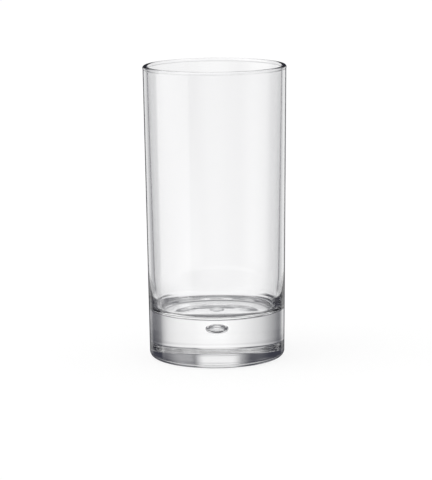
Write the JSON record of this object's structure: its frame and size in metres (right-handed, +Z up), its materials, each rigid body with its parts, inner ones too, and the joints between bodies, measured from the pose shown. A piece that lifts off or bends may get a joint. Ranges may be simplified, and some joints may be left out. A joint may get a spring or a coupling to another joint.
{
  "type": "drinking glass",
  "caption": "Straight-sided clear glass tumbler with a rounded rim, a thin wall and a thick solid base that holds a flattened air bubble.",
  "frame": {"origin": "on the axis of the glass, in the plane of the ring that it stands on", "axes": "+Z up along the axis to the rim; +X to the right and +Y away from the viewer in the picture"},
  "size_m": [0.0706, 0.0706, 0.145],
  "materials": {
    "clear_glass": "clear, fire-polished",
    "base_glass": "clear, polished, thick",
    "trapped_air": "clear void in the glass"
  },
  "bodies": {
    "root": {"bowl": "clear_glass", "foot": "base_glass", "air_bubble": "trapped_air"}
  },
  "joints": []
}
